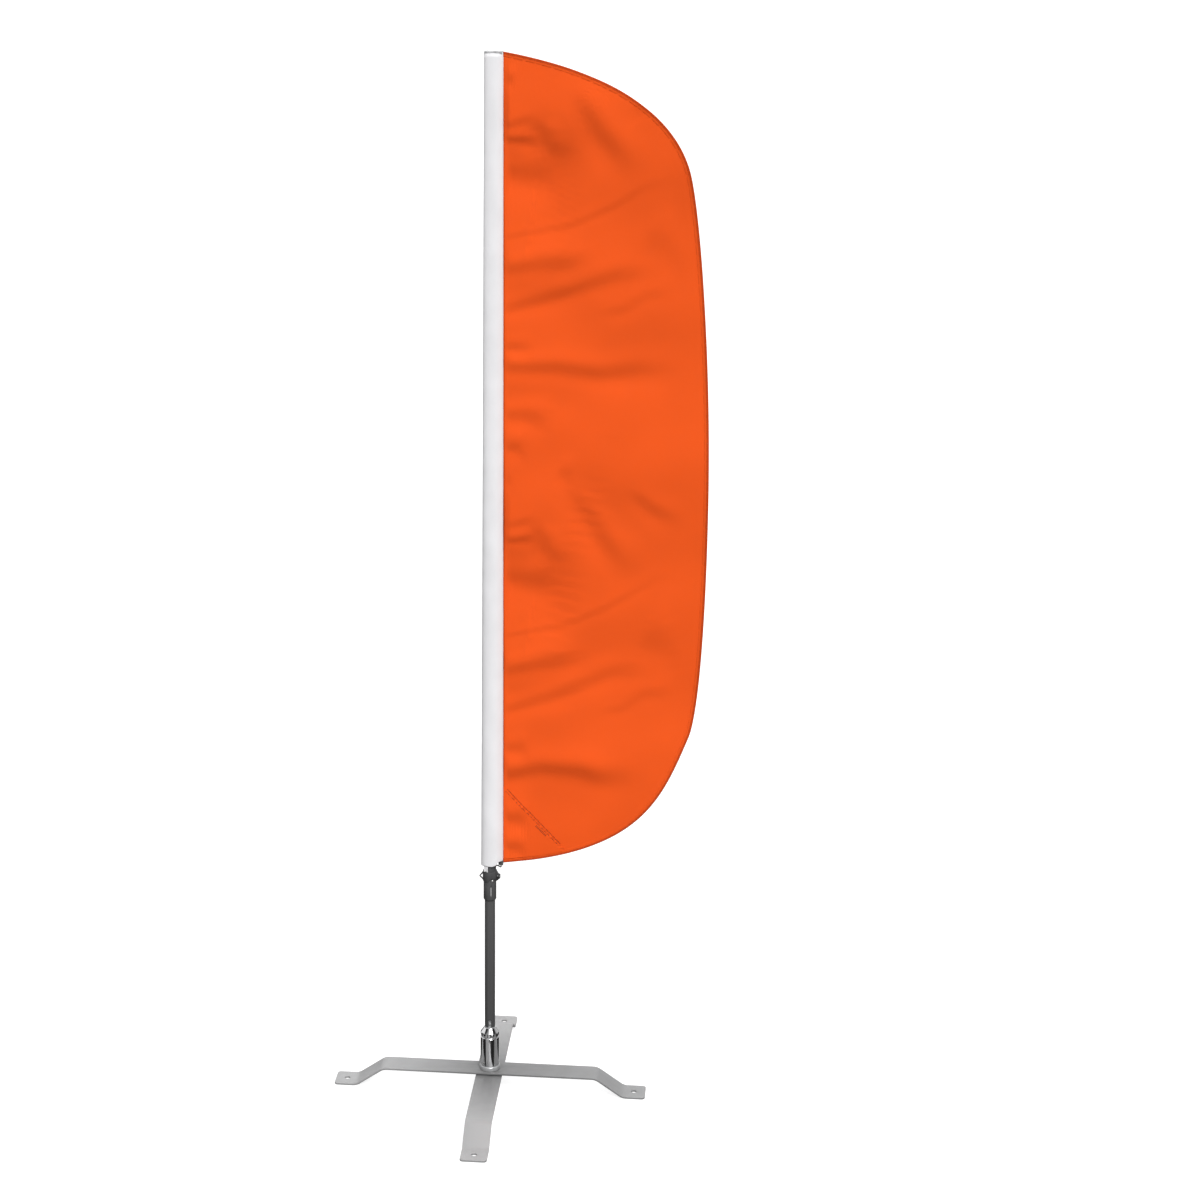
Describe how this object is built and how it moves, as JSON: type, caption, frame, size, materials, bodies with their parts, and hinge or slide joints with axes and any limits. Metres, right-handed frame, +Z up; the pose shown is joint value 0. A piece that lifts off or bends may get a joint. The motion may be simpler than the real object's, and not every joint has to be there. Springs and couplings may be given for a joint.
{
  "type": "feather flag with pole",
  "caption": "Feather-shaped flag in a sleeve on a jointed pole that turns in a bearing housing on a folding flat cross base.",
  "frame": {"origin": "on the floor, under the middle of the whole object's box; the mast axis stands 60.3 mm towards -X of it", "axes": "+Z up along the mast, +X along the upper bar towards the flag's free edge, +Y along the lower bar, away from the viewer"},
  "size_m": [0.8806, 0.76, 2.5025],
  "materials": {
    "silver_paint": "satin silver-grey powder coat",
    "zinc_steel": "bright zinc-plated steel",
    "chrome_plate": "polished chrome plate",
    "bearing_steel": "ground bearing and spring steel",
    "cage_brass": "pressed brass cage with steel balls",
    "black_rubber": "matt black rubber",
    "pole_coat": "matt dark grey coated tube",
    "black_nylon": "moulded black nylon",
    "aluminium_tube": "drawn aluminium tube",
    "fibreglass": "pultruded fibreglass",
    "black_elastic": "braided black elastic cord",
    "orange_cloth": "knitted polyester flag cloth, dyed orange",
    "white_cloth": "white elasticated polyester",
    "grey_webbing": "woven grey webbing"
  },
  "bodies": {
    "base": {"upper_bar": "silver_paint", "pivot_washer": "zinc_steel", "centre_bolt": "zinc_steel", "bolt_lock_washer": "zinc_steel", "rotator_flange": "zinc_steel", "rotator_housing": "chrome_plate", "housing_grub_screw": "bearing_steel", "lower_bearing_outer_race": "bearing_steel", "upper_bearing_outer_race": "bearing_steel", "housing_clip": "bearing_steel", "bearing_cap": "chrome_plate", "dust_seal": "black_rubber"},
    "cross_arm": {"lower_bar": "silver_paint"},
    "lower_balls": {"lower_bearing_ball_cage": "cage_brass"},
    "upper_balls": {"upper_bearing_ball_cage": "cage_brass"},
    "rotor": {"spindle": "zinc_steel", "spindle_clip": "bearing_steel", "bearing_spacer": "aluminium_tube", "lower_bearing_inner_race": "bearing_steel", "upper_bearing_inner_race": "bearing_steel", "spindle_o_ring": "black_rubber", "drive_pin": "zinc_steel"},
    "mast": {"lower_pole": "pole_coat", "pole_foot_bush": "black_nylon", "ferrule_liner": "aluminium_tube", "pole_socket": "black_nylon", "button_spring": "bearing_steel", "middle_pole": "fibreglass", "pole_joint_ferrule": "aluminium_tube", "top_pole": "fibreglass", "pole_tip_cap": "black_rubber", "tension_collar": "black_nylon", "tension_cord": "black_elastic", "cord_knot": "black_elastic", "flag_panel": "orange_cloth", "flag_hem": "orange_cloth", "corner_patch": "orange_cloth", "flag_sleeve": "white_cloth", "sleeve_tab": "grey_webbing", "sleeve_tail": "white_cloth", "sleeve_top_tape": "grey_webbing"},
    "button": {"snap_button": "chrome_plate"}
  },
  "joints": [
    {"name": "cross_fold", "type": "hinge", "parent": "base", "child": "cross_arm", "pos_m": [-0.0603, 0, 0.0414], "axis": [0, 0, 1], "range_deg": [-70, 70]},
    {"name": "mast_spin", "type": "hinge", "parent": "base", "child": "rotor", "pos_m": [-0.0603, 0, 0.1], "axis": [0, 0, 1], "continuous": true},
    {"name": "lower_cage_spin", "type": "hinge", "parent": "base", "child": "lower_balls", "pos_m": [-0.0603, 0, 0.0912], "axis": [0, 0, 1], "continuous": true},
    {"name": "upper_cage_spin", "type": "hinge", "parent": "base", "child": "upper_balls", "pos_m": [-0.0603, 0, 0.1242], "axis": [0, 0, 1], "continuous": true},
    {"name": "mast_lift", "type": "slide", "parent": "rotor", "child": "mast", "axis": [0, 0, 1], "range_m": [0, 0.1]},
    {"name": "button_press", "type": "slide", "parent": "mast", "child": "button", "axis": [-0.5, 0.866, 0], "range_m": [0, 0.0076], "stiffness_N_per_m": 600, "springref_m": -0.003}
  ],
  "couplings": [
    {"joint": "lower_cage_spin", "follows": "mast_spin", "ratio": 0.384},
    {"joint": "upper_cage_spin", "follows": "mast_spin", "ratio": 0.384}
  ]
}
